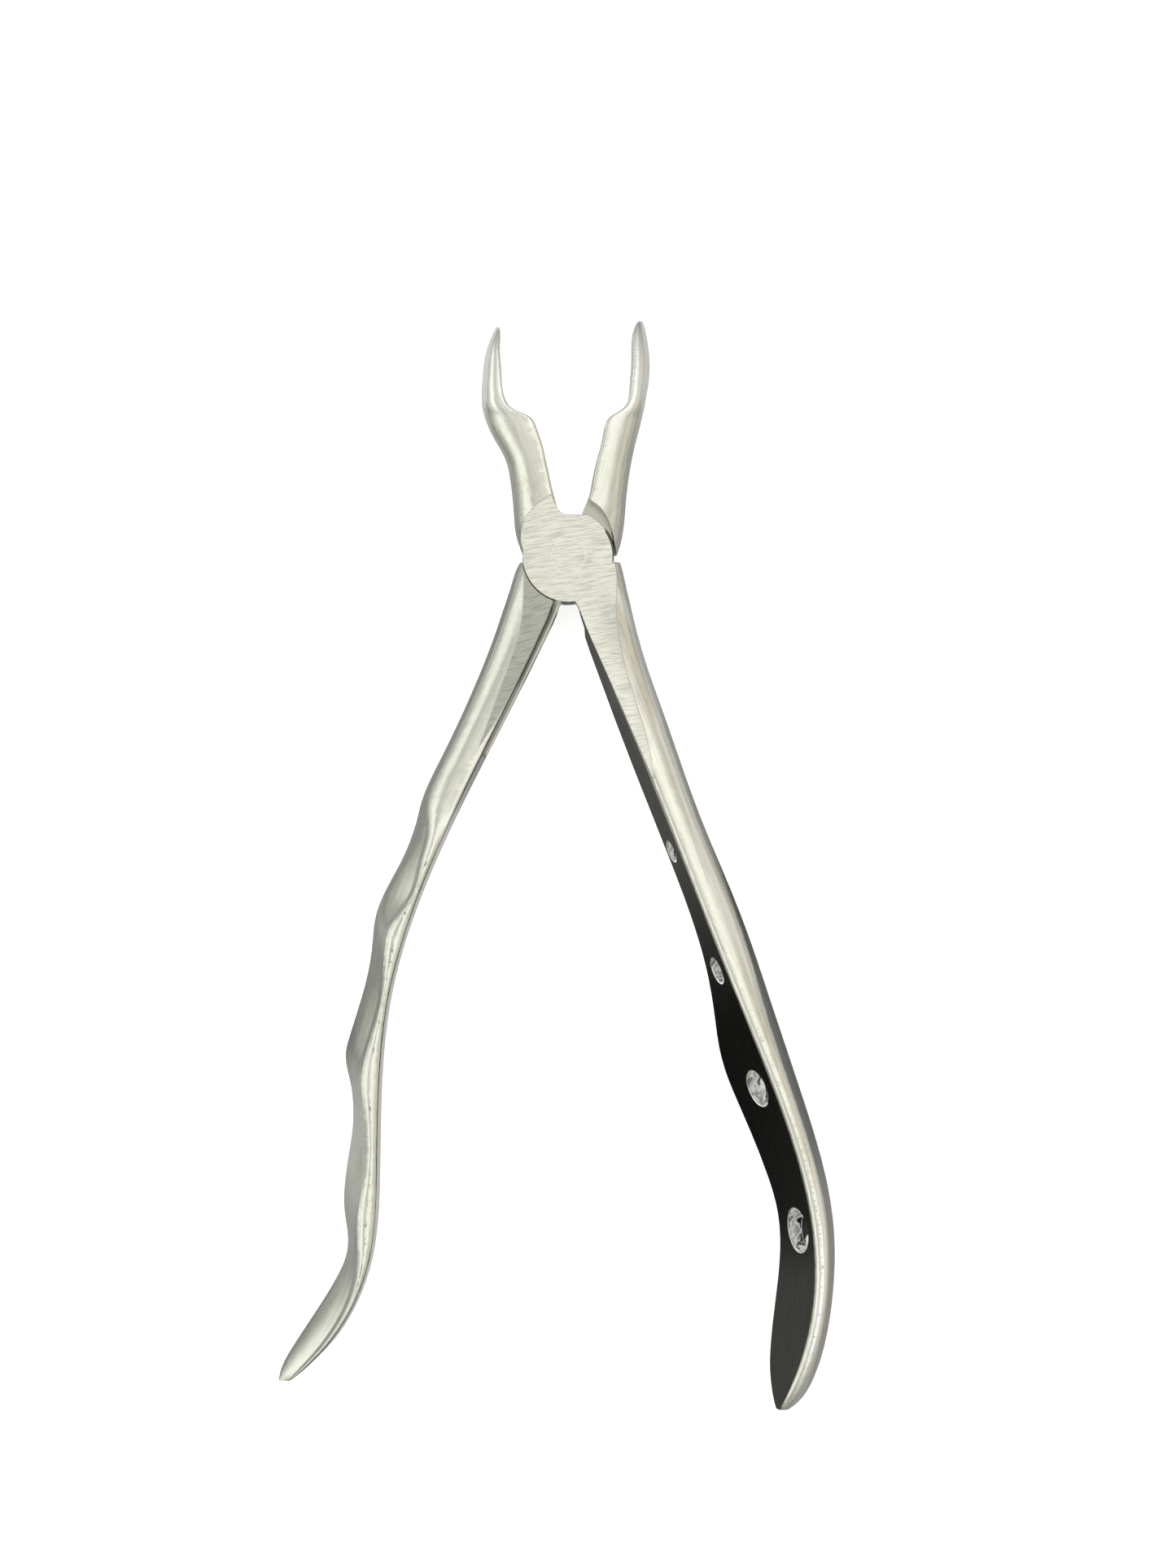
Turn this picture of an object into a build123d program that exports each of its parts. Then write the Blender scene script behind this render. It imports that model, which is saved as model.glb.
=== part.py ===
from build123d import *
import os
from math import cos, hypot, pi, sin

# Dental extraction forceps: two crossed halves held by one flush hinge pin.
# It lies flat: the hinge axis is Z, the front faces +Z, the beaks point to +Y, the handles to -Y.
# The origin is the middle of the hinge on the joint's front ground face,
# so the joint spans z = -joint_thickness .. 0.
# All lengths are millimetres. Section tables give z from the joint's middle plane.

joint_thickness = 8.0    # over the two ground faces of the joint
middle_z = -joint_thickness / 2    # plane where the two halves lap
lap_gap = 0.03           # axial running gap between the halves
lap_thickness = joint_thickness / 2 - lap_gap / 2    # each half's share of the joint
palm_lap_z = middle_z + lap_gap / 2
finger_lap_z = middle_z - lap_gap / 2

disc_r = 7.30            # lap disc of each half
pocket_r = 7.48          # pocket in each half that takes the other one's disc
disc_top_y = 6.66        # the disc is cut off straight here, on the beak side
disc_cut_width = 9
disc_cut_height = 4
disc_cut_y = disc_top_y + disc_cut_height / 2
pocket_overshoot = 2     # how far the pocket cut runs past the ground face

pin_r = 2.73             # hinge pin, ground flush at both ends
bore_gap = 0.03          # radial running clearance of the pin in the finger half
cut_overshoot = 1        # how far other cuts run past the ground faces

front_flat_depth = 2.1   # palm handle's ground flat on the front
side_flat_depth = 2.0    # ground flat beside the pocket of each handle
trim_r = 17              # cylinders that clear the ground faces
trim_height = 6

handle_edge = 0.8        # rounded side's least width on the handles
beak_edge = 0.55         # the same on the beaks, also sets their inner edges' rounding

# Graduated round blind holes in the palm handle's inner face: y, z, diameter, depth
handle_holes = [
    (-47.2, -0.7, 3.3, 2.2),
    (-66.5, -0.5, 4.1, 2.4),
    (-85.6, -0.6, 5.8, 2.6),
    (-108.7, -0.8, 7.3, 2.6),
]
hole_lead = 3            # the hole cutters start this far outside the inner face

# Palm handle: y, inner face's front edge (x, z), inner face's rear edge (x, z),
# outermost x, frontmost z, rearmost z, fullness
palm_handle = [
    (-0.8, 0.00, 3.20, 0.60, -3.00, 8.45, 3.85, -3.85, 3.0),
    (-3.0, 0.50, 3.20, 0.95, -3.00, 9.05, 3.85, -3.85, 3.0),
    (-5.5, 1.00, 3.20, 1.35, -3.00, 9.62, 3.85, -3.85, 2.9),
    (-8.5, 1.78, 3.18, 1.85, -3.00, 10.33, 3.85, -3.85, 2.8),
    (-12.5, 3.42, 3.14, 2.86, -3.00, 11.33, 3.85, -3.85, 2.7),
    (-17.5, 5.63, 3.06, 4.63, -2.99, 12.82, 3.84, -3.84, 2.6),
    (-22.5, 7.77, 2.98, 6.46, -2.94, 14.57, 3.80, -3.80, 2.5),
    (-28.0, 10.06, 2.90, 8.52, -2.90, 16.53, 3.72, -3.76, 2.45),
    (-34.0, 12.50, 2.84, 10.83, -2.90, 18.61, 3.66, -3.74, 2.4),
    (-40.0, 14.89, 2.80, 13.19, -2.90, 20.78, 3.62, -3.74, 2.4),
    (-46.0, 17.25, 2.80, 15.59, -2.91, 23.19, 3.62, -3.76, 2.4),
    (-52.0, 19.59, 2.80, 17.95, -2.97, 25.73, 3.62, -3.84, 2.4),
    (-58.0, 21.92, 2.83, 20.15, -3.18, 28.15, 3.66, -4.10, 2.4),
    (-63.0, 23.88, 2.95, 21.76, -3.74, 29.99, 3.76, -4.70, 2.4),
    (-67.5, 25.66, 3.12, 22.99, -5.05, 31.55, 3.92, -5.95, 2.4),
    (-71.5, 27.26, 3.37, 23.86, -6.85, 32.92, 4.12, -7.60, 2.4),
    (-75.5, 28.89, 3.58, 24.49, -7.83, 34.28, 4.32, -8.62, 2.4),
    (-79.5, 30.51, 3.79, 25.10, -8.26, 35.63, 4.50, -9.10, 2.4),
    (-84.0, 32.29, 3.92, 26.30, -8.38, 37.13, 4.62, -9.24, 2.4),
    (-89.0, 34.15, 3.99, 28.30, -7.90, 38.76, 4.70, -8.80, 2.4),
    (-94.5, 36.00, 4.04, 30.65, -7.46, 40.44, 4.76, -8.36, 2.4),
    (-100.0, 37.53, 4.08, 32.78, -7.29, 41.87, 4.78, -8.18, 2.4),
    (-106.0, 38.76, 4.10, 34.57, -7.20, 42.92, 4.80, -8.08, 2.4),
    (-112.0, 39.41, 4.06, 35.15, -7.43, 43.32, 4.74, -8.26, 2.4),
    (-118.0, 39.39, 3.93, 34.80, -7.78, 43.11, 4.60, -8.50, 2.4),
    (-123.5, 38.71, 3.74, 34.09, -7.43, 42.44, 4.36, -8.08, 2.35),
    (-128.0, 37.67, 3.36, 33.50, -6.45, 41.48, 3.92, -7.02, 2.3),
    (-131.5, 36.56, 2.85, 33.18, -4.94, 40.30, 3.34, -5.44, 2.25),
    (-134.3, 35.50, 2.15, 33.25, -3.40, 38.95, 2.55, -3.80, 2.2),
    (-136.4, 34.65, 1.20, 33.50, -1.90, 37.30, 1.50, -2.20, 2.1),
    (-137.6, 34.15, 0.20, 33.80, -0.80, 35.80, 0.40, -1.00, 2.0),
]

# Finger handle: y, inner face's front edge (x, z), inner face's rear edge (x, z),
# outermost x, frontmost z, rearmost z, x of the grooves' front edge,
# share of the groove facet (1 full facet, near 0 a round bar with a faint ridge)
finger_fullness = 2.5
finger_handle = [
    (-0.8, 0.00, 3.40, 0.00, -3.20, -7.75, 3.85, -3.85, -6.3, 0.06),
    (-3.0, -0.95, 3.40, -0.45, -3.20, -8.74, 3.85, -3.85, -7.3, 0.06),
    (-5.5, -1.72, 3.40, -0.92, -3.20, -9.50, 3.85, -3.85, -8.1, 0.06),
    (-8.5, -2.65, 3.40, -1.62, -3.20, -10.50, 3.85, -3.85, -9.0, 0.06),
    (-12.5, -4.37, 3.40, -3.40, -3.20, -11.86, 3.85, -3.85, -10.2, 0.06),
    (-17.5, -6.72, 3.40, -5.80, -3.20, -13.76, 3.85, -3.85, -12.0, 0.06),
    (-22.5, -9.15, 3.40, -8.29, -3.20, -15.87, 3.84, -3.84, -14.2, 0.06),
    (-27.5, -11.64, 3.38, -10.83, -3.20, -18.15, 3.82, -3.84, -16.4, 0.06),
    (-32.5, -14.13, 3.36, -13.38, -3.25, -20.60, 3.82, -3.88, -18.6, 0.06),
    (-37.5, -16.58, 3.36, -15.90, -3.40, -23.00, 3.84, -4.02, -20.6, 0.08),
    (-40.5, -18.01, 3.36, -17.37, -3.52, -24.15, 3.86, -4.15, -21.3, 0.30),
    (-43.0, -19.18, 3.38, -18.57, -3.66, -24.75, 3.88, -4.30, -22.0, 0.65),
    (-45.5, -20.31, 3.40, -19.74, -3.82, -25.40, 3.92, -4.46, -22.85, 0.90),
    (-48.5, -21.62, 3.42, -21.09, -4.02, -26.62, 3.96, -4.68, -23.85, 1),
    (-51.5, -22.87, 3.44, -22.37, -4.22, -28.19, 4.00, -4.90, -24.60, 1),
    (-54.3, -23.97, 3.46, -23.51, -4.42, -29.63, 4.04, -5.10, -25.60, 1),
    (-56.8, -24.89, 3.48, -24.46, -4.58, -30.62, 4.06, -5.28, -27.35, 1),
    (-59.3, -25.75, 3.50, -25.35, -4.72, -31.18, 4.10, -5.44, -29.10, 1),
    (-62.0, -26.61, 3.50, -26.24, -4.86, -31.44, 4.12, -5.58, -29.80, 1),
    (-65.5, -27.58, 3.50, -27.25, -4.98, -31.90, 4.14, -5.70, -29.98, 1),
    (-69.5, -28.51, 3.50, -28.22, -5.04, -32.79, 4.15, -5.78, -30.25, 1),
    (-73.5, -29.21, 3.50, -28.95, -5.06, -33.98, 4.15, -5.80, -31.06, 1),
    (-77.0, -29.66, 3.50, -29.43, -5.06, -35.07, 4.15, -5.80, -32.10, 1),
    (-79.8, -29.93, 3.50, -29.71, -5.06, -35.72, 4.15, -5.80, -32.98, 1),
    (-82.3, -30.11, 3.50, -29.90, -5.05, -35.49, 4.15, -5.80, -33.50, 1),
    (-85.0, -30.26, 3.50, -30.05, -5.04, -34.90, 4.14, -5.78, -33.62, 1),
    (-88.5, -30.39, 3.50, -30.18, -5.02, -34.54, 4.12, -5.76, -33.20, 1),
    (-92.5, -30.47, 3.50, -30.27, -4.98, -34.70, 4.10, -5.72, -32.80, 1),
    (-96.5, -30.54, 3.48, -30.32, -4.94, -35.30, 4.08, -5.68, -32.85, 1),
    (-100.5, -30.61, 3.46, -30.39, -4.90, -35.84, 4.06, -5.64, -33.35, 1),
    (-103.8, -30.72, 3.44, -30.48, -4.88, -36.00, 4.04, -5.60, -33.97, 1),
    (-106.3, -30.88, 3.42, -30.62, -4.86, -35.77, 4.02, -5.58, -34.22, 1),
    (-108.8, -31.14, 3.40, -30.84, -4.84, -35.42, 4.00, -5.54, -34.20, 1),
    (-111.5, -31.58, 3.40, -31.21, -4.80, -35.50, 4.00, -5.50, -34.10, 1),
    (-114.5, -32.30, 3.38, -31.84, -4.74, -36.48, 3.98, -5.44, -34.30, 1),
    (-117.5, -33.32, 3.34, -32.75, -4.64, -38.09, 3.94, -5.32, -34.98, 1),
    (-120.5, -34.70, 3.28, -33.98, -4.48, -39.95, 3.86, -5.12, -36.15, 1),
    (-123.5, -36.50, 3.12, -35.60, -4.18, -41.94, 3.68, -4.78, -37.85, 1),
    (-126.5, -38.77, 2.78, -37.75, -3.66, -43.91, 3.26, -4.20, -40.00, 1),
    (-129.0, -41.10, 2.25, -40.20, -2.95, -45.40, 2.66, -3.42, -42.15, 1),
    (-131.0, -43.15, 1.45, -42.50, -2.00, -46.20, 1.80, -2.40, -43.95, 1),
    (-132.2, -44.60, 0.55, -44.30, -1.00, -46.40, 0.80, -1.30, -45.05, 1),
]

# Palm half's beak (leans to -X): y, inner x, outer x, half depth, fullness
# The shank ends in a shoulder near y = 22, the slender blade stands on its outer part
palm_beak = [
    (0.5, -2.6, -7.30, 3.85, 2.35),
    (1.9, -2.5, -7.80, 3.85, 2.35),
    (3.5, -2.2, -8.30, 3.85, 2.35),
    (6.6, -1.7, -8.68, 3.85, 2.35),
    (9.8, -2.35, -8.94, 3.85, 2.35),
    (12.9, -3.06, -9.34, 3.82, 2.35),
    (16.0, -3.72, -10.12, 3.80, 2.35),
    (18.4, -4.32, -11.42, 3.80, 2.35),
    (20.2, -4.95, -12.42, 3.80, 2.35),
    (21.6, -5.50, -13.05, 3.82, 2.35),
    (22.3, -6.10, -13.30, 3.82, 2.35),
    (22.9, -7.30, -13.50, 3.82, 2.35),
    (23.5, -8.65, -13.66, 3.80, 2.35),
    (24.2, -9.50, -13.82, 3.78, 2.35),
    (25.2, -10.08, -13.92, 3.72, 2.35),
    (26.6, -10.45, -13.95, 3.64, 2.3),
    (28.6, -10.66, -13.80, 3.50, 2.3),
    (31.0, -10.82, -13.60, 3.25, 2.2),
    (33.3, -10.98, -13.16, 2.85, 2.2),
    (35.0, -10.92, -12.60, 2.30, 2.1),
    (36.3, -10.90, -12.05, 1.65, 2),
    (37.1, -11.05, -11.62, 0.95, 2),
]
# Finger half's beak (leans to +X), same columns
finger_beak = [
    (0.5, 2.6, 7.95, 3.85, 2.35),
    (1.9, 2.6, 8.42, 3.85, 2.35),
    (3.5, 2.5, 8.80, 3.85, 2.35),
    (6.6, 2.2, 9.20, 3.85, 2.35),
    (9.8, 3.38, 9.48, 3.85, 2.35),
    (12.9, 4.05, 9.85, 3.82, 2.35),
    (16.0, 4.72, 10.38, 3.80, 2.35),
    (18.4, 5.40, 10.92, 3.80, 2.35),
    (20.2, 5.78, 11.40, 3.80, 2.35),
    (21.6, 6.08, 11.75, 3.82, 2.35),
    (22.3, 6.55, 11.92, 3.82, 2.35),
    (22.9, 7.45, 12.05, 3.82, 2.35),
    (23.5, 8.40, 12.20, 3.80, 2.35),
    (24.2, 9.10, 12.36, 3.78, 2.35),
    (25.2, 9.65, 12.55, 3.72, 2.35),
    (26.6, 9.98, 12.80, 3.64, 2.3),
    (28.6, 10.12, 13.10, 3.50, 2.3),
    (31.0, 10.32, 13.26, 3.25, 2.2),
    (33.3, 10.36, 13.12, 2.90, 2.2),
    (35.6, 10.40, 12.80, 2.35, 2.1),
    (37.2, 10.72, 12.45, 1.70, 2),
    (38.2, 11.30, 12.10, 0.95, 2),
]

# Outlines in XY: x, y
# Joint's ground flat, as on the palm half; the finger half has it mirrored
joint_flat_start = [(-7.35, 1.35), (-5.0, -5.0), (0.91, -7.0)]
joint_flat_end = [(7.25, -0.8), (5.0, 4.9), (2.21, disc_top_y), (-0.30, 6.62)]
joint_flat_neck = [(-0.30, 6.62), (-1.02, 6.86), (-1.55, 7.35), (-1.98, 8.05), (-2.73, 9.87)]
joint_flat_side = [
    (-2.73, 9.87), (-4.94, 8.45), (-6.55, 6.75), (-7.35, 4.85), (-7.62, 2.70), (-7.35, 1.35),
]
# Palm handle's flat on the front
palm_flat_inner = [
    (0.91, -7.0), (1.43, -7.8), (2.34, -10.0), (4.55, -15.2),
    (8.00, -22.9), (10.90, -29.6), (13.50, -35.6),
]
palm_flat_outer = [
    (13.30, -32.4), (12.10, -27.6), (10.50, -22.4), (9.15, -17.8),
    (8.10, -12.9), (7.60, -7.6), (7.62, -2.2), (7.25, -0.8),
]
# Finger handle's flat on the rear
finger_flat_inner = [
    (-0.91, -7.0), (-1.60, -8.4), (-2.95, -11.5), (-4.95, -15.7),
    (-7.10, -20.0), (-9.30, -24.4), (-11.30, -28.4), (-13.20, -32.2),
]
finger_flat_outer = [
    (-13.30, -30.6), (-12.10, -27.0), (-10.50, -22.2), (-9.15, -17.8),
    (-8.10, -12.9), (-7.60, -7.6), (-7.45, -2.2), (-7.25, -0.8),
]
# Flat beside the pocket, as on the finger half's front; the palm half's rear has it mirrored
side_flat_outer = [
    (-7.05, -1.9), (-7.20, -6.2), (-7.65, -11.0), (-9.00, -15.8),
    (-10.90, -21.0), (-12.70, -26.0), (-14.35, -30.6),
]
side_flat_inner = [
    (-12.60, -27.9), (-10.35, -23.8), (-7.90, -19.2), (-6.10, -15.4),
    (-4.35, -11.7), (-3.15, -9.0), (-2.45, -7.2),
]
# Pocket's opening towards the beaks, as on the finger half; the palm half has it mirrored
pocket_side = [(7.47, 0.3), (7.10, 4.15), (6.05, 6.68), (3.85, 8.78)]
pocket_mouth = [(3.85, 8.78), (2.3, 10.3), (-6.0, 10.3), (-6.0, 0.3), (7.47, 0.3)]
# Relief of the palm handle's inner corner
stop_relief = [
    (0, -6.6), (2.50, -6.6), (2.45, -7.8), (2.70, -9.5), (2.88, -12.6), (0, -12.6), (0, -6.6),
]


def mirrored(points):
    return [(-x, y) for x, y in points]


def section_plane(y):
    # across the forceps: sketch x is +X, sketch y is +Z, measured from the middle plane
    return Plane(origin=(0, y, middle_z), x_dir=(1, 0, 0), z_dir=(0, -1, 0))


def between(start, end):
    return end[0] - start[0], end[1] - start[1]


def unit(vector):
    length = hypot(*vector)
    return vector[0] / length, vector[1] / length


def blend(first, second, share):
    return tuple(a * (1 - share) + b * share for a, b in zip(first, second))


def rounded_side(section, side, fullness, least_width, margin, steps):
    # superellipse points over the outer side, front to rear; margin trims both ends of the half turn
    front_x, front_z, rear_x, rear_z, outer_x, top_z, bottom_z = section
    center_z = (top_z + bottom_z) / 2
    points = []
    for k in range(steps + 1):
        angle = pi * (margin + (1 - 2 * margin) * k / steps)
        sign = 1 if cos(angle) >= 0 else -1
        z = center_z + (top_z - center_z) * sign * abs(cos(angle)) ** (2 / fullness)
        lean = min(1, max(0, (front_z - z) / (front_z - rear_z)))
        inner_x = front_x + (rear_x - front_x) * lean
        width = abs(outer_x - inner_x)
        edge = min(least_width, 0.3 * width)
        reach = edge + (width - edge) * abs(sin(angle)) ** (2 / fullness)
        points.append((inner_x + side * reach, z))
    return points


def palm_outline(row):
    # from the inner face's front edge over the outer side to its rear edge
    front_x, front_z, rear_x, rear_z, outer_x, top_z, bottom_z = row[1:8]
    over = rounded_side(row[1:8], 1, row[8], handle_edge, 0.05, 10)
    corner = min(0.4, 0.12 * (outer_x - front_x))
    front_corner = (front_x + corner, top_z - 0.35 * (top_z - front_z))
    rear_corner = (rear_x + corner, bottom_z + 0.35 * (rear_z - bottom_z))
    return [(front_x, front_z), front_corner] + over + [rear_corner, (rear_x, rear_z)]


def finger_outline(row):
    # two runs that meet at the grooves' front edge, and the end tangents of each
    _, front_x, front_z, rear_x, rear_z, outer_x, top_z, bottom_z, groove_x, facet = row
    bar = rounded_side(row[1:8], -1, finger_fullness, handle_edge, 0.02, 12)
    groove_z = top_z - 0.11 * (top_z - bottom_z)
    ridge_z = (top_z + bottom_z) / 2 + 0.4    # z of the outermost point
    # front face out to the groove edge
    crown = (
        (0.08, top_z - 0.22), (0.3, top_z), (0.56, top_z - 0.02),
        (0.82, top_z - 0.45 * (top_z - groove_z)), (1, groove_z),
    )
    grooved = [(front_x + (groove_x - front_x) * t, z) for t, z in crown]
    # bowed facet from the groove edge to the outermost point
    for t in (0.25, 0.5, 0.75, 1.0):
        x = groove_x + (outer_x - groove_x) * (t + 0.13 * sin(pi * t))
        grooved.append((x, groove_z + (ridge_z - groove_z) * t))
    # elliptical rear corner
    for degrees in (25, 48, 68, 85):
        angle = degrees * pi / 180
        x = outer_x + (rear_x - 0.5 - outer_x) * (1 - cos(angle))
        grooved.append((x, ridge_z - (ridge_z - bottom_z) * sin(angle)))
    points = [blend(b, g, facet) for b, g in zip(bar, grooved)]

    # a full facet gives a sharp edge at points[4], a round bar passes it smoothly
    smooth = between(points[3], points[5])
    before = between(points[3], points[4])
    after = between(points[4], points[5])
    arrive = unit(blend(smooth, (2 * before[0], 2 * before[1]), facet))
    leave = unit(blend(smooth, (2 * after[0], 2 * after[1]), facet))
    front, rear = (front_x, front_z), (rear_x, rear_z)
    along = unit(between(rear, front))
    return [front] + points[:5], points[4:] + [rear], (along, arrive), (leave, along)


def beak_outline(row):
    # rounded bar: flat inner side with soft edges, full outer side
    _, inner_x, outer_x, half_depth, fullness = row
    side = 1 if outer_x > inner_x else -1
    edge = min(beak_edge, 0.3 * abs(outer_x - inner_x), 0.4 * half_depth)
    flat_z = half_depth - 0.8 * edge
    section = (inner_x, flat_z, inner_x, -flat_z, outer_x, half_depth, -half_depth)
    over = rounded_side(section, side, fullness, edge, 0.02, 8)
    return [(inner_x, flat_z)] + over + [(inner_x, -flat_z)]


beak_tangents = ((0, 1), (0, 1))


def hole_mouth(hole_y, hole_z):
    # plane over the palm handle's leaning inner face, its normal pointing out of the handle
    nearer = [row for row in palm_handle if row[0] >= hole_y][-1]
    farther = [row for row in palm_handle if row[0] < hole_y][0]
    share = (hole_y - nearer[0]) / (farther[0] - nearer[0])
    front_x, front_z, rear_x, rear_z = (
        nearer[i] + (farther[i] - nearer[i]) * share for i in (1, 2, 3, 4)
    )
    along_x, along_z = unit((front_x - rear_x, front_z - rear_z))
    hole_x = rear_x + (front_x - rear_x) * (hole_z - rear_z) / (front_z - rear_z)
    return Plane(
        origin=(hole_x - hole_lead * along_z, hole_y, hole_z + middle_z + hole_lead * along_x),
        x_dir=(0, 1, 0),
        z_dir=(along_z, 0, -along_x),
    )


def build_palm_half():
    # front lap disc, beak to -X, broad handle to +X
    with BuildPart() as half:
        for row in palm_handle:
            outline = palm_outline(row)
            with BuildSketch(section_plane(row[0])):
                with BuildLine():
                    Line(outline[-1], outline[0])
                    Spline(outline)
                make_face()
        loft()
        for row in palm_beak:
            outline = beak_outline(row)
            with BuildSketch(section_plane(row[0])):
                with BuildLine():
                    Line(outline[-1], outline[0])
                    Spline(outline, tangents=beak_tangents)
                make_face()
        loft()
        # room for the other half's disc, behind the lap plane
        with BuildSketch(Plane.XY.offset(-joint_thickness - pocket_overshoot)):
            Circle(pocket_r)
            with BuildLine():
                Spline(mirrored(pocket_side))
                Polyline(mirrored(pocket_mouth))
            make_face()
        extrude(amount=joint_thickness / 2 + pocket_overshoot + lap_gap / 2, mode=Mode.SUBTRACT)
        # front lap disc
        with BuildSketch(Plane.XY.offset(palm_lap_z)):
            Circle(disc_r)
            with Locations((0, disc_cut_y)):
                Rectangle(disc_cut_width, disc_cut_height, mode=Mode.SUBTRACT)
        extrude(amount=lap_thickness)
        # joint's ground flat
        with BuildSketch(Plane.XY.offset(palm_lap_z)):
            with BuildLine():
                Polyline(joint_flat_start)
                Line(joint_flat_start[-1], joint_flat_end[0])
                Polyline(joint_flat_end)
                Spline(joint_flat_neck)
                Spline(joint_flat_side)
            make_face()
        extrude(amount=lap_thickness)
        # handle's ground flat on the front
        with BuildSketch(Plane.XY.offset(-front_flat_depth)):
            with BuildLine():
                Spline(palm_flat_inner)
                Line(palm_flat_inner[-1], palm_flat_outer[0])
                Spline(palm_flat_outer)
                Line(palm_flat_outer[-1], palm_flat_inner[0])
            make_face()
        extrude(amount=front_flat_depth)
        # ground flat on the rear of the handle, beside the pocket
        outer = mirrored(side_flat_outer)
        inner = mirrored(side_flat_inner)
        with BuildSketch(Plane.XY.offset(-joint_thickness)):
            with BuildLine():
                Spline(outer)
                Line(outer[-1], inner[0])
                Spline(inner)
                Line(inner[-1], outer[0])
            make_face()
            Circle(pocket_r, mode=Mode.SUBTRACT)
        extrude(amount=side_flat_depth)
        # nothing stands above the ground faces
        for face_z, height in ((0, trim_height), (-joint_thickness, -trim_height)):
            with BuildSketch(Plane.XY.offset(face_z)):
                Circle(trim_r)
            extrude(amount=height, mode=Mode.SUBTRACT)
        # closing stop: the handle's inner corner behind the lap plane is cut back
        with BuildSketch(Plane.XY.offset(-joint_thickness - cut_overshoot)):
            with BuildLine():
                Polyline(stop_relief)
            make_face()
        extrude(amount=joint_thickness / 2 + cut_overshoot + lap_gap / 2, mode=Mode.SUBTRACT)
        # hinge pin seat
        with BuildSketch(Plane.XY.offset(-joint_thickness - cut_overshoot)):
            Circle(pin_r)
        extrude(amount=joint_thickness + 2 * cut_overshoot, mode=Mode.SUBTRACT)
        # graduated blind holes
        for hole_y, hole_z, diameter, depth in handle_holes:
            with BuildSketch(hole_mouth(hole_y, hole_z)):
                Circle(diameter / 2)
            extrude(amount=hole_lead + depth, mode=Mode.SUBTRACT)
    return half.part


def build_finger_half():
    # rear lap disc, beak to +X, grooved handle to -X
    with BuildPart() as half:
        for row in finger_handle:
            front_run, outer_run, front_tangents, outer_tangents = finger_outline(row)
            with BuildSketch(section_plane(row[0])):
                with BuildLine():
                    Line(outer_run[-1], front_run[0])
                    Spline(front_run, tangents=front_tangents)
                    Spline(outer_run, tangents=outer_tangents)
                make_face()
        loft()
        for row in finger_beak:
            outline = beak_outline(row)
            with BuildSketch(section_plane(row[0])):
                with BuildLine():
                    Line(outline[-1], outline[0])
                    Spline(outline, tangents=beak_tangents)
                make_face()
        loft()
        # pocket for the palm half's disc, in front of the lap plane
        with BuildSketch(Plane.XY.offset(finger_lap_z)):
            Circle(pocket_r)
            with BuildLine():
                Spline(pocket_side)
                Polyline(pocket_mouth)
            make_face()
        extrude(amount=joint_thickness / 2 + pocket_overshoot, mode=Mode.SUBTRACT)
        # rear lap disc
        with BuildSketch(Plane.XY.offset(-joint_thickness)):
            Circle(disc_r)
            with Locations((0, disc_cut_y)):
                Rectangle(disc_cut_width, disc_cut_height, mode=Mode.SUBTRACT)
        extrude(amount=lap_thickness)
        # ground flat of the joint and handle on the rear, in one outline
        with BuildSketch(Plane.XY.offset(-joint_thickness)):
            with BuildLine():
                Polyline(mirrored(joint_flat_start))
                Spline(finger_flat_inner)
                Line(finger_flat_inner[-1], finger_flat_outer[0])
                Spline(finger_flat_outer)
                Polyline(mirrored(joint_flat_end))
                Spline(mirrored(joint_flat_neck))
                Spline(mirrored(joint_flat_side))
            make_face()
        extrude(amount=lap_thickness)
        # ground flat on the front of the handle, beside the pocket
        with BuildSketch(Plane.XY.offset(-side_flat_depth)):
            with BuildLine():
                Spline(side_flat_outer)
                Line(side_flat_outer[-1], side_flat_inner[0])
                Spline(side_flat_inner)
                Line(side_flat_inner[-1], side_flat_outer[0])
            make_face()
            Circle(pocket_r, mode=Mode.SUBTRACT)
        extrude(amount=side_flat_depth)
        # nothing stands above the ground faces
        for face_z, height in ((0, trim_height), (-joint_thickness, -trim_height)):
            with BuildSketch(Plane.XY.offset(face_z)):
                Circle(trim_r)
            extrude(amount=height, mode=Mode.SUBTRACT)
        # running bore for the hinge pin
        with BuildSketch(Plane.XY.offset(-joint_thickness - cut_overshoot)):
            Circle(pin_r + bore_gap)
        extrude(amount=joint_thickness + 2 * cut_overshoot, mode=Mode.SUBTRACT)
    return half.part


def build_hinge_pin():
    with BuildPart() as pin:
        with BuildSketch(Plane.XY.offset(-joint_thickness)):
            Circle(pin_r)
        extrude(amount=joint_thickness)
    return pin.part


pieces = {
    "palm_half": build_palm_half(),
    "finger_half": build_finger_half(),
    "hinge_pin": build_hinge_pin(),
}
os.makedirs("parts", exist_ok=True)
for name, piece in pieces.items():
    piece.label = name
    export_step(piece, f"parts/{name}.step")
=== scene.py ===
# Hand tool of two crossed steel forgings on a hinge pin, lying flat on pale paper.
# The pin's axis is z at the origin. Beaks point to +y, handles to -y. The front faces lie at
# z = 0, the back faces at z = -8 mm. The palm handle is on the right (+x), its beak on the
# left; the finger half is the other way round.
import math

import bpy
from mathutils import Matrix, Vector


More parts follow.
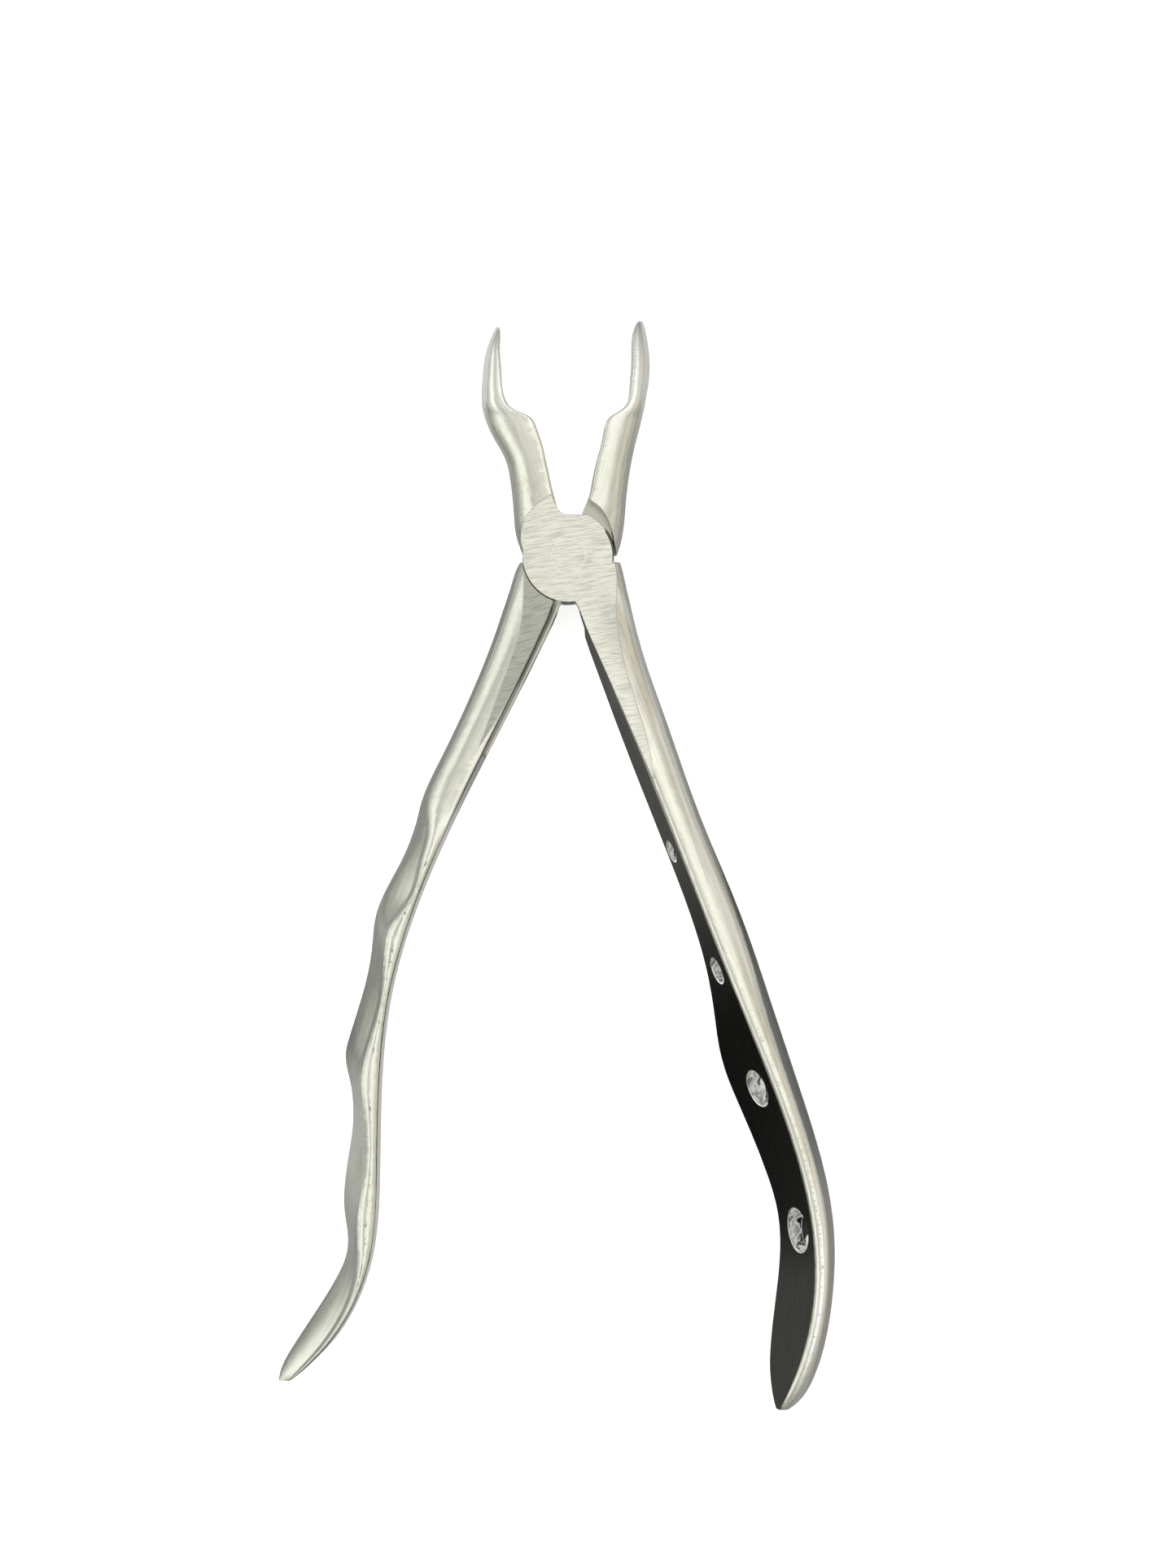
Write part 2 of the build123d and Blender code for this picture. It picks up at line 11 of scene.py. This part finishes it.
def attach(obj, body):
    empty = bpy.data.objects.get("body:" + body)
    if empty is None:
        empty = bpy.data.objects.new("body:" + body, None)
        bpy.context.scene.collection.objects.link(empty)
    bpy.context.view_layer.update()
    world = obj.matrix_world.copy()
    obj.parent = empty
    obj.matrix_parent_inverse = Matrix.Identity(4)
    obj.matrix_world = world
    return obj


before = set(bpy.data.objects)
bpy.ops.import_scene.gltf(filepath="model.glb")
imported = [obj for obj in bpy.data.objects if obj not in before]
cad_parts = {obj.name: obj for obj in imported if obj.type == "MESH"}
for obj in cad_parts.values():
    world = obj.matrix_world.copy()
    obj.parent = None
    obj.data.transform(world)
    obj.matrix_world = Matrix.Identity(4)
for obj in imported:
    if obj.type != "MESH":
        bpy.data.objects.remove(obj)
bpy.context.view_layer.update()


scene = bpy.context.scene
palm, finger, pin = (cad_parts[n] for n in ("palm_half", "finger_half", "hinge_pin"))
MM = 0.001
MID_Z = -4.0  # halfway through the thickness, mm

# blind holes in the palm handle's inner face: x, y, z, radius of the ball round each, mm
HOLES = [
    (17.77, -47.2, -5.00, 1.95), (25.24, -66.5, -4.87, 2.35),
    (31.84, -85.6, -5.17, 3.16), (38.46, -108.7, -5.25, 3.85),
]
# centre lines of the forgings, which the grain follows: y, x, mm
LINES = {
    "palm": [
        (-138, 34.5), (-125, 38), (-110, 39), (-98, 38), (-85, 34), (-70, 29), (-50, 21),
        (-30, 14), (-12, 6), (0, 0), (10, -5.5), (22, -9.5), (30, -12.2), (38, -11.4),
    ],
    "finger": [
        (-132, -46), (-124, -39), (-112, -34), (-98, -33.5), (-80, -33), (-66, -30.5),
        (-50, -25), (-30, -15.5), (-12, -6.5), (0, 0), (10, 6.5), (22, 9.2), (30, 11.8),
        (38, 12),
    ],
}
# the box that holds both lines, mm
LINE_START, LINE_END = -140, 40
LINE_LENGTH = LINE_END - LINE_START
LINE_LEFT, LINE_WIDTH = -50, 100

# grip serrations on the beaks, mm
RIDGE_COUNT = 16
RIDGE_START, RIDGE_PITCH = 29.0, 0.50  # y of the first, step in y
RIDGE_FOOT = 0.16  # half the width at the foot
RIDGE_SUNK = -0.08  # the feet lie inside the steel
RIDGE_HEIGHT, RIDGE_END_HEIGHT = 0.08, 0.01
RIDGE_REACH, RIDGE_SHRINK = 2.4, 0.08  # half length in z of the first, loss per ridge


# ---------------------------------------------------------------- shader helpers
class Nodes:
    """A node tree with short calls that add a node and return its output."""

    def __init__(self, owner):
        owner.use_nodes = True
        self.nodes = owner.node_tree.nodes
        self.links = owner.node_tree.links

    def add(self, kind, inputs=None, **props):
        node = self.nodes.new(kind)
        for prop, value in props.items():
            setattr(node, prop, value)
        self.put(node, inputs or {})
        return node

    def put(self, node, inputs):
        for key, value in inputs.items():
            if hasattr(value, "is_output"):
                self.links.new(value, node.inputs[key])
            else:
                node.inputs[key].default_value = value

    def math(self, operation, a, b=0.0, clamp=False):
        return self.add("ShaderNodeMath", {0: a, 1: b},
                        operation=operation, use_clamp=clamp).outputs[0]

    def plus(self, a, b):
        return self.math("ADD", a, b)

    def minus(self, a, b):
        return self.math("SUBTRACT", a, b)

    def times(self, a, b, clamp=False):
        return self.math("MULTIPLY", a, b, clamp)

    def inverse(self, mask):
        return self.minus(1.0, mask)

    def gap(self, value, centre):
        return self.math("ABSOLUTE", self.minus(value, centre))

    def ramp(self, factor, stops):
        """Stops are (position, grey) or (position, (red, green, blue))."""
        node = self.add("ShaderNodeValToRGB", {"Fac": factor})
        elements = node.color_ramp.elements
        elements.remove(elements[-1])
        for i, (position, tone) in enumerate(stops):
            stop = elements.new(position) if i else elements[0]
            stop.position = position
            stop.color = (*tone, 1) if isinstance(tone, tuple) else (tone, tone, tone, 1)
        return node.outputs["Color"]

    def span(self, value, off, on, low=0.0, high=1.0, kind="SMOOTHSTEP"):
        """Low where the value is at off, high where it is at on."""
        node = self.add("ShaderNodeMapRange", {
            "Value": value, "From Min": off, "From Max": on, "To Min": low, "To Max": high,
        }, interpolation_type=kind)
        return node.outputs["Result"]

    def mix(self, factor, a, b, mode="MIX"):
        a, b = ((*c, 1) if isinstance(c, tuple) else c for c in (a, b))
        return self.add("ShaderNodeMix", {0: factor, 6: a, 7: b},
                        data_type="RGBA", blend_type=mode).outputs[2]

    def coat(self, colour, over, where, strength=None):
        """Lay one colour over another through a mask."""
        if strength is not None:
            where = self.times(where, strength)
        return self.mix(where, colour, over)

    def shade(self, colour, factor, where):
        """Multiply a colour by a grey factor."""
        return self.mix(where, colour, self.join(factor, factor, factor), "MULTIPLY")

    def blend(self, factor, off, on):
        return self.add("ShaderNodeMix", {0: factor, 2: off, 3: on},
                        data_type="FLOAT").outputs[0]

    def noise(self, vector, scale=1.0, detail=4.0, rough=0.55):
        return self.add("ShaderNodeTexNoise", {
            "Vector": vector, "Scale": scale, "Detail": detail, "Roughness": rough,
        }).outputs["Fac"]

    def join(self, x, y, z):
        return self.add("ShaderNodeCombineXYZ", {0: x, 1: y, 2: z}).outputs[0]

    def split(self, vector):
        return self.add("ShaderNodeSeparateXYZ", {0: vector}).outputs

    def curve(self, value, points):
        node = self.add("ShaderNodeFloatCurve", {"Value": value})
        curve = node.mapping.curves[0]
        curve.points[0].location = points[0]
        curve.points[1].location = points[-1]
        for point in points[1:-1]:
            curve.points.new(*point)
        node.mapping.update()
        return node.outputs[0]

    def line_share(self, y):
        """How far along the box of the centre lines y is, 0 to 1."""
        return self.math("DIVIDE", self.plus(y, -LINE_START), LINE_LENGTH)

    def beside_line(self, x, share, line):
        """Distance in x from a centre line, mm."""
        points = [((y - LINE_START) / LINE_LENGTH, (line_x - LINE_LEFT) / LINE_WIDTH)
                  for y, line_x in line]
        centre = self.plus_left(self.times(self.curve(share, points), LINE_WIDTH))
        return self.minus(x, centre)

    def plus_left(self, value):
        return self.minus(value, -LINE_LEFT)


# ---------------------------------------------------------------- steel
# bright steel: wear on the edges, and painted highlight on the edges, in the holes and along the
# palm's rolled edge
WEAR_AND_HIGHLIGHT = (1.0, 1.0, 0.97)
# painted highlight laid over the beaks
BEAK_PAINTED_SHEEN = (1.0, 1.0, 0.96)
RIM_BRIGHT = (1.0, 1.0, 0.92)
# painted shade for the sunken floor of the lap pocket
LAP_PAINTED_SHADE = (0.50, 0.50, 0.435)
SWELL_PAINTED_SHADE = (0.30, 0.30, 0.27)
SIDE_PAINTED_SHADE = (0.10, 0.10, 0.09)
GRIP_DARK = (0.36, 0.36, 0.33)
SEAM_SHADOW = (0.02, 0.02, 0.018)
# painted light and shade inside the holes: dark walls, bright reflection patches
HOLE_LIGHT_AND_SHADE = [
    (0.16, (0.30, 0.29, 0.26)), (0.26, WEAR_AND_HIGHLIGHT), (0.36, (0.45, 0.43, 0.39)), (0.41, WEAR_AND_HIGHLIGHT),
    (0.50, WEAR_AND_HIGHLIGHT), (0.54, (0.22, 0.21, 0.19)), (0.57, (0.008, 0.008, 0.007)),
]


def scaled(colour, factor):
    return tuple(min(1, c * factor) for c in colour)


class Surface(Nodes):
    """A steel material with its coordinates in mm and the masks the layers share."""

    def __init__(self, material, line, tint):
        super().__init__(material)
        self.tint = tint
        self.point = self.add("ShaderNodeTexCoord").outputs["Object"]
        self.x, self.y, self.z = (self.times(axis, 1000.0) for axis in self.split(self.point))
        self.geometry = self.add("ShaderNodeNewGeometry").outputs
        normal = self.add("ShaderNodeVectorTransform", {0: self.geometry["True Normal"]},
                          vector_type="NORMAL", convert_from="WORLD", convert_to="OBJECT")
        self.normal_x, _, normal_z = self.split(normal.outputs[0])
        self.across = self.x
        if line:
            self.across = self.beside_line(self.x, self.line_share(self.y), line)

        # ground faces at the front and the back, facing straight out
        level = self.span(self.math("ABSOLUTE", normal_z), off=0.9985, on=0.9995)
        front = self.span(self.z, off=-0.06, on=-0.02)
        back = self.span(self.z, off=-7.94, on=-7.98)
        self.flat = self.times(level, self.math("MAXIMUM", front, back), clamp=True)
        # floor of the lap pocket, seen in the crescent beside the disc
        level = self.span(self.math("ABSOLUTE", normal_z), off=0.995, on=0.999)
        depth = self.math("ABSOLUTE", self.plus(self.z, -MID_Z))
        self.lap = self.times(level, self.span(depth, off=0.12, on=0.06), clamp=True)
        # the pin is ground flush: its rim hardly shows on the faces
        self.radius = self.math("SQRT", self.plus(self.times(self.x, self.x),
                                                  self.times(self.y, self.y)))
        near_pin = self.span(self.radius, off=3.4, on=3.1)
        near_face = self.math("MAXIMUM", self.span(self.z, off=-0.8, on=-0.6),
                              self.span(self.z, off=-7.2, on=-7.4))
        self.flush = self.times(near_pin, near_face, clamp=True)

    def grain_space(self, across, along):
        """Coordinates drawn out along the part."""
        return self.join(self.times(self.across, across), self.times(self.y, along),
                         self.times(self.z, across))

    def holes(self):
        """Mask of the blind holes, and the painted light and shade of their walls and floors."""
        mask, lean = None, 0.0
        for x, y, z, radius in HOLES:
            away = self.add("ShaderNodeVectorMath",
                            {0: self.point, 1: (x * MM, y * MM, z * MM)}, operation="DISTANCE")
            near = self.math("LESS_THAN", away.outputs["Value"], radius * MM)
            mask = self.math("MAXIMUM", mask, near) if mask else near
            side = self.math("DIVIDE", self.minus(self.x, x), radius)
            lean = self.plus(lean, self.times(near, side))
        spots = self.noise(self.join(self.x, self.times(self.y, 0.8), self.z),
                           scale=0.55, detail=2.0, rough=0.5)
        return mask, self.ramp(self.plus(spots, self.times(lean, 0.34)), HOLE_LIGHT_AND_SHADE)


def streaks(part, colour, strength):
    """Drawn-out streaks left by lengthwise grinding."""
    streak = part.noise(part.grain_space(across=6.0, along=0.06), detail=5.0, rough=0.75)
    tones = part.ramp(streak, [
        (0.34, (0.52, 0.47, 0.36)), (0.44, (0.80, 0.77, 0.65)), (0.52, part.tint),
        (0.66, (1.0, 1.0, 0.93)),
    ])
    curved = part.inverse(part.math("MAXIMUM", part.flat, part.lap))
    return part.coat(colour, tones, where=curved, strength=strength)


# grinding streaks, with painted shade, painted highlight and painted shadow on the palm half
def palm_streaks_and_painted_light(part, colour, hole):
    # painted shade: the flat below the joint darkens towards its outer edge
    fall = part.span(part.across, off=-2.4, on=3.2, low=1.06, high=0.68)
    below = part.times(part.flat, part.span(part.y, off=-4.0, on=-15.0))
    colour = part.shade(colour, fall, where=below)
    colour = streaks(part, colour, strength=0.55)
    # painted shade: the inner face is darker along the swell
    swell = part.times(part.span(part.y, off=-62.0, on=-72.0),
                       part.span(part.y, off=-118.0, on=-106.0))
    inner = part.times(part.span(part.normal_x, off=-0.70, on=-0.85), swell)
    colour = part.coat(colour, SWELL_PAINTED_SHADE, where=part.times(inner, part.inverse(hole)),
                       strength=0.7)
    # a painted highlight band where the flat rolls over to the outer side
    middle = part.span(part.y, off=-12.0, on=-28.0, low=5.0, high=1.75, kind="LINEAR")
    band = part.span(part.gap(part.across, middle), off=1.05, on=0.35)
    rolled_highlight = part.times(band, part.inverse(part.flat))
    colour = part.coat(colour, WEAR_AND_HIGHLIGHT,
                       where=part.times(rolled_highlight, part.span(part.y, off=-3.0, on=-7.0)))
    # shadow in the seam between the disc and the other half's shank
    ring = part.span(part.gap(part.radius, 7.30), off=0.34, on=0.18)
    height = part.times(part.span(part.y, off=4.4, on=3.8),
                        part.span(part.y, off=-1.2, on=-0.6))
    seam = part.times(ring, part.times(part.span(part.x, off=5.2, on=5.9), height))
    return part.coat(colour, SEAM_SHADOW, where=seam)


# grinding streaks, with painted shade and painted shadow on the finger half
def finger_streaks_and_painted_shade(part, colour):
    colour = streaks(part, colour, strength=0.30)
    # painted shade on the inner side, just below the joint
    reach = part.times(part.span(part.y, off=-6.0, on=-8.5),
                       part.span(part.y, off=-46.0, on=-34.0))
    side_shade = part.times(part.span(part.normal_x, off=0.40, on=0.65), reach)
    colour = part.coat(colour, SIDE_PAINTED_SHADE, where=side_shade, strength=0.85)
    # the pocket wall is black with shadow
    ring = part.span(part.gap(part.radius, 7.55), off=0.34, on=0.16)
    corner = part.times(part.span(part.x, off=5.4, on=6.2), part.span(part.y, off=5.4, on=4.4))
    colour = part.coat(colour, SEAM_SHADOW, where=part.times(ring, corner))
    # painted shade: the finger grooves darken towards their outer edge
    fall = part.span(part.across, off=-4.6, on=-0.6, low=0.66, high=1.0)
    groove = part.times(part.span(part.normal_x, off=-0.15, on=-0.45),
                        part.span(part.y, off=-38.0, on=-46.0))
    return part.shade(colour, fall, where=groove)


def grip_shadow(part, colour, side):
    """Darken the beak's inner face between the serrations; side is the sign of its normal."""
    inward = part.span(part.normal_x, off=0.25 * side, on=0.6 * side)
    grip = part.times(part.times(inward, part.span(part.y, off=28.6, on=29.2)),
                      part.span(part.y, off=37.6, on=37.2), clamp=True)
    turn = part.times(part.minus(part.y, RIDGE_START), 2 * math.pi / RIDGE_PITCH)
    wave = part.plus(part.times(part.math("COSINE", turn), 0.5), 0.5)
    valley = part.times(part.times(grip, 0.5), part.span(wave, off=0.5, on=0.1))
    return part.coat(colour, GRIP_DARK, where=valley)


def steel(half, tint, seed, grind_angle, flat_tone):
    material = bpy.data.materials.new(f"steel_{half}_finish")
    part = Surface(material, LINES.get(half), tint)
    x, y, z, flat = part.x, part.y, part.z, part.flat

    fine_grain = part.noise(part.grain_space(across=9.0, along=0.16), detail=5.0, rough=0.65)
    wide_grain = part.noise(part.grain_space(across=2.2, along=0.05), detail=3.0, rough=0.5)
    mottle = part.noise(part.join(x, part.plus(y, seed * 7.0), z), scale=0.33)
    spots = part.noise(part.join(x, y, part.plus(z, seed)), scale=2.6, detail=2.0, rough=0.5)

    # grinding lines on the flats run nearly across the joint, slightly rising
    angle = math.radians(grind_angle)
    cosine, sine = math.cos(angle), math.sin(angle)
    run = part.plus(part.times(x, cosine), part.times(y, sine))
    rise = part.minus(part.times(y, cosine), part.times(x, sine))
    wobble = part.times(part.noise(part.join(x, y, seed), scale=0.12, detail=1.0), 1.6)

    def grinding(along, across, offset):
        space = part.join(part.times(run, along),
                          part.times(part.plus(rise, wobble), across), offset)
        return part.noise(space, detail=3.0, rough=0.6)

    wide_lines = grinding(along=0.26, across=4.4, offset=seed)
    fine_lines = grinding(along=0.45, across=11.0, offset=seed + 3.0)

    # worn edges, also painted brighter as edge highlights: where the rounded-edge normal leaves
    # the face normal
    rounded = part.add("ShaderNodeBevel", {"Radius": 0.00022}, samples=6).outputs[0]
    dot = part.add("ShaderNodeVectorMath", {0: rounded, 1: part.geometry["Normal"]},
                   operation="DOT_PRODUCT")
    edge = part.times(part.span(dot.outputs["Value"], off=0.995, on=0.90),
                      part.inverse(part.flush))
    rim = part.times(part.span(part.gap(part.radius, 2.75), off=0.16, on=0.04), part.flush)
    normal = part.add("ShaderNodeMix",
                      {0: part.flush, 4: rounded, 5: part.geometry["True Normal"]},
                      data_type="VECTOR").outputs[1]

    # colour, from the bare steel outwards
    ground = scaled(tint, flat_tone)
    colour = part.mix(part.span(mottle, off=0.35, on=0.65), scaled(tint, 0.93), tint)
    colour = part.coat(colour, scaled(tint, 0.80),
                       where=part.span(wide_grain, off=0.35, on=0.7), strength=0.35)
    colour = part.coat(colour, ground, where=flat)
    colour = part.coat(colour, scaled(ground, 0.71),
                       where=part.times(flat, part.span(wide_lines, off=0.43, on=0.62)))
    bright_lines = part.times(part.span(fine_lines, off=0.54, on=0.66), 0.8)
    colour = part.coat(colour, scaled(ground, 1.16), where=part.times(flat, bright_lines))
    # painted shade: the sunken lap floor is painted darker
    colour = part.coat(colour, LAP_PAINTED_SHADE, where=part.lap)
    if half == "palm":
        hole, painted_hole_light = part.holes()
        colour = palm_streaks_and_painted_light(part, colour, hole)
    elif half == "finger":
        colour = finger_streaks_and_painted_shade(part, colour)
    if half != "pin":
        # painted highlight: the beaks are painted brighter towards their tips
        colour = part.coat(colour, BEAK_PAINTED_SHEEN, where=part.span(y, off=19.0, on=27.0),
                           strength=0.75)
    colour = part.coat(colour, RIM_BRIGHT, where=rim, strength=0.40)
    if half == "palm":
        # painted light and shade inside the holes
        colour = part.coat(colour, painted_hole_light, where=hole)
    # wear and painted highlight along the edges
    colour = part.coat(colour, WEAR_AND_HIGHLIGHT, where=edge, strength=0.8)
    if half != "pin":
        colour = grip_shadow(part, colour, side=1 if half == "palm" else -1)

    rough = part.blend(fine_grain, off=0.14, on=0.30)
    rough = part.plus(rough, part.times(part.span(spots, off=0.55, on=0.8), 0.05))
    rough = part.blend(flat, off=rough, on=part.blend(fine_lines, off=0.26, on=0.46))
    rough = part.blend(edge, off=rough, on=0.16)
    metallic = 1.0
    if half == "palm":
        rough = part.blend(hole, off=rough, on=0.5)
        # the holes are made nearly non-metallic so their painted light and shade shows
        metallic = part.inverse(part.times(hole, 0.92))

    grain = part.plus(part.times(fine_grain, 0.6), part.times(wide_grain, 0.4))
    lines = part.plus(part.times(wide_lines, 0.5), part.times(fine_lines, 0.5))
    bump = part.add("ShaderNodeBump", {
        "Strength": part.blend(flat, off=0.10, on=0.22),
        "Distance": 0.0001,
        "Height": part.blend(flat, off=grain, on=lines),
        "Normal": normal,
    })
    part.put(part.nodes["Principled BSDF"], {
        "Base Color": colour, "Metallic": metallic, "Roughness": rough,
        "Normal": bump.outputs[0],
    })
    return material


# grind_angle in degrees; flat_tone is the brightness of the ground faces
finishes = {
    "palm": steel("palm", tint=(0.90, 0.893, 0.800), seed=1.0, grind_angle=9.0, flat_tone=0.96),
    "finger": steel("finger", tint=(0.88, 0.885, 0.80), seed=5.0, grind_angle=12.0,
                    flat_tone=0.56),
    "pin": steel("pin", tint=(0.905, 0.897, 0.805), seed=9.0, grind_angle=9.0, flat_tone=0.96),
}
for obj, half in ((palm, "palm"), (finger, "finger"), (pin, "pin")):
    obj.data.materials.clear()
    obj.data.materials.append(finishes[half])


# ---------------------------------------------------------------- grip serrations
def ridge_rows(beak, way, index):
    """Rows of three points, back to front, that follow the beak's inner face."""
    middle = RIDGE_START + RIDGE_PITCH * index
    reach = RIDGE_REACH - RIDGE_SHRINK * index
    steps = (-RIDGE_FOOT, 0.0, RIDGE_FOOT)
    rows = []
    for k in range(7):
        z = MID_Z + reach * (k / 3 - 1)
        hits = [beak.ray_cast((0, (middle + step) * MM, z * MM), (way, 0, 0))
                for step in steps]
        if all(hit[0] for hit in hits):
            crest = RIDGE_END_HEIGHT if k in (0, 6) else RIDGE_HEIGHT
            lifts = (RIDGE_SUNK, crest, RIDGE_SUNK)
            rows.append([((hit[1].x / MM - way * lift) * MM, (middle + step) * MM, z * MM)
                         for hit, lift, step in zip(hits, lifts, steps)])
    return rows


def serrations(half, beak, way):
    """Fine ridges across a beak's inner face, each a closed sliver; way is the beak's x side."""
    verts, faces = [], []
    for i in range(RIDGE_COUNT):
        rows = ridge_rows(beak, way, i)
        if len(rows) < 3:
            continue
        first = len(verts)
        last = first + 3 * (len(rows) - 1)
        verts += [point for row in rows for point in row]
        ridge = [(a + j, a + (j + 1) % 3, a + 3 + (j + 1) % 3, a + 3 + j)
                 for a in range(first, last, 3) for j in range(3)]
        ridge += [(first + 2, first + 1, first), (last, last + 1, last + 2)]
        faces += ridge if way < 0 else [face[::-1] for face in ridge]
    name = f"{half}_beak_serrations"
    mesh = bpy.data.meshes.new(name)
    mesh.from_pydata(verts, [], faces)
    mesh.update()
    ridges = bpy.data.objects.new(name, mesh)
    mesh.materials.append(finishes[half])
    scene.collection.objects.link(ridges)
    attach(ridges, half)


serrations("palm", palm, way=-1)
serrations("finger", finger, way=1)

# ---------------------------------------------------------------- floor
# greys the steel mirrors from below: share of the way from y = -140 to 40 mm, grey
BLACK_CARD = [
    (0.0, 0.045), (0.117, 0.040), (0.178, 0.010), (0.261, 0.002), (0.339, 0.002),
    (0.422, 0.022), (0.506, 0.065), (0.694, 0.075), (1.0, 0.075),
]
RIGHT_CARD = [
    (0.0, 0.30), (0.20, 0.24), (0.27, 0.13), (0.42, 0.12), (0.50, 0.07), (0.54, 0.24),
    (0.70, 0.34), (0.86, 0.36), (0.92, 0.52), (1.0, 0.56),
]
LEFT_CARD = [
    (0.0, 0.26), (0.12, 0.30), (0.24, 0.52), (0.36, 0.24), (0.42, 0.28), (0.50, 0.45),
    (0.56, 0.30), (0.76, 0.26), (0.86, 0.40), (0.92, 0.62), (1.0, 0.66),
]
BETWEEN_GREY = 0.52


def floor_paper():
    """Glowing pale paper; glossy rays meet grey cards instead, black between the handles."""
    material = bpy.data.materials.new("floor_paper")
    tree = Nodes(material)
    tree.nodes.clear()
    paper = tree.add("ShaderNodeBsdfDiffuse", {"Color": (0.90, 0.90, 0.89, 1)})
    glow = tree.add("ShaderNodeEmission", {"Color": (1, 1, 0.995, 1), "Strength": 0.55})
    seen = tree.add("ShaderNodeAddShader", {0: paper.outputs[0], 1: glow.outputs[0]})

    position = tree.split(tree.add("ShaderNodeNewGeometry").outputs["Position"])
    x, y = (tree.times(position[i], 1000.0) for i in (0, 1))
    share = tree.line_share(y)
    from_finger, from_palm = (tree.beside_line(x, share, LINES[half])
                              for half in ("finger", "palm"))
    between = tree.times(tree.span(from_finger, off=-2.5, on=1.0),
                         tree.span(from_palm, off=4.0, on=1.0), clamp=True)
    between = tree.times(between, tree.span(y, off=-4.0, on=-9.0))
    # the black card draws away from the finger handle below the joint
    clearance = tree.span(y, off=-16.0, on=-26.0, low=0.0, high=13.0)
    inside = tree.times(between,
                        tree.span(tree.minus(from_finger, clearance), off=-2.5, on=1.0))

    black, right, left = (
        tree.ramp(tree.span(y, off=LINE_START, on=LINE_END, kind="LINEAR"), stops)
        for stops in (BLACK_CARD, RIGHT_CARD, LEFT_CARD))
    card = tree.blend(tree.span(x, off=-2.0, on=2.0), off=left, on=right)
    card = tree.blend(between, off=card, on=BETWEEN_GREY)
    card = tree.blend(inside, off=card, on=black)
    mirrored = tree.add("ShaderNodeEmission", {"Color": card, "Strength": 1.0})
    glossy = tree.add("ShaderNodeLightPath").outputs["Is Glossy Ray"]
    chosen = tree.add("ShaderNodeMixShader",
                      {0: glossy, 1: seen.outputs[0], 2: mirrored.outputs[0]})
    tree.add("ShaderNodeOutputMaterial", {0: chosen.outputs[0]})
    return material


lowest = min(v.co.z for obj in (palm, finger, pin) for v in obj.data.vertices)
bpy.ops.mesh.primitive_plane_add(size=3.0, location=(0, 0, lowest - 0.00005))
floor = bpy.context.object
floor.name = "floor"
floor.data.materials.append(floor_paper())

# ---------------------------------------------------------------- world and light
# softboxes round the tool's length: turn (0.25 level left, 0.5 up, 0.75 level right), colour
STUDIO = [
    (0.00, (0.20, 0.20, 0.19)), (0.16, (0.26, 0.27, 0.26)), (0.22, (0.34, 0.36, 0.33)),
    (0.27, (0.46, 0.48, 0.44)), (0.31, (0.70, 0.72, 0.69)), (0.35, (1.14, 1.16, 1.12)),
    (0.39, (1.14, 1.16, 1.12)), (0.415, (0.55, 0.56, 0.53)), (0.45, (0.62, 0.63, 0.60)),
    (0.48, (0.85, 0.85, 0.81)), (0.505, (1.12, 1.12, 1.07)), (0.555, (1.14, 1.14, 1.10)),
    (0.585, (0.78, 0.76, 0.71)), (0.62, (0.58, 0.55, 0.49)), (0.665, (0.82, 0.78, 0.70)),
    (0.70, (0.42, 0.40, 0.36)), (0.75, (0.62, 0.60, 0.55)), (0.80, (0.16, 0.155, 0.14)),
    (1.00, (0.12, 0.12, 0.11)),
]
AMBIENT = (0.92, 0.93, 0.93)  # what all but glossy rays see

scene.world = bpy.data.worlds.new("studio")
sky = Nodes(scene.world)
sky.nodes.clear()
toward = sky.split(sky.add("ShaderNodeTexCoord").outputs["Generated"])
radians_round = sky.math("ARCTAN2", toward[0], toward[2])
turn = sky.plus(sky.math("DIVIDE", radians_round, 2 * math.pi), 0.5)
end_fade = sky.span(sky.math("ABSOLUTE", toward[1]), off=0.15, on=0.95, low=1.0, high=0.45)
boxes = sky.shade(sky.ramp(turn, STUDIO), end_fade, where=1.0)
glossy = sky.add("ShaderNodeLightPath").outputs["Is Glossy Ray"]
background = sky.add("ShaderNodeBackground",
                     {"Color": sky.mix(glossy, AMBIENT, boxes), "Strength": 1.0})
sky.add("ShaderNodeOutputWorld", {0: background.outputs[0]})

KEY_PLACE, KEY_TARGET = (-0.35, 0.25, 0.75), (0, -0.04, 0)
key = bpy.data.lights.new("key_softbox", "AREA")
key.shape = "RECTANGLE"
key.size, key.size_y = 0.5, 0.7
key.energy = 1.6
softbox = bpy.data.objects.new("key_softbox", key)
softbox.location = KEY_PLACE
aim = Vector(KEY_TARGET) - softbox.location
softbox.rotation_euler = aim.to_track_quat("-Z", "Y").to_euler()
softbox.visible_glossy = False
scene.collection.objects.link(softbox)

scene.view_settings.view_transform = "Standard"

# ---------------------------------------------------------------- camera
# looks down on the front faces, tilted a little about y
CAMERA_PLACE = (-0.0118877, -0.0364109, 0.4298470)
CAMERA_TILT = math.radians(2.0)
lens = bpy.data.cameras.new("camera")
lens.sensor_fit = "HORIZONTAL"
lens.sensor_width = 36.0
lens.lens = 82.381453
lens.clip_start = 0.01
camera = bpy.data.objects.new("camera", lens)
right = Vector((math.cos(CAMERA_TILT), 0, math.sin(CAMERA_TILT)))
back = Vector((-math.sin(CAMERA_TILT), 0, math.cos(CAMERA_TILT)))
turned = Matrix((right, back.cross(right), back)).transposed().to_4x4()
camera.matrix_world = Matrix.Translation(CAMERA_PLACE) @ turned
scene.collection.objects.link(camera)
scene.camera = camera
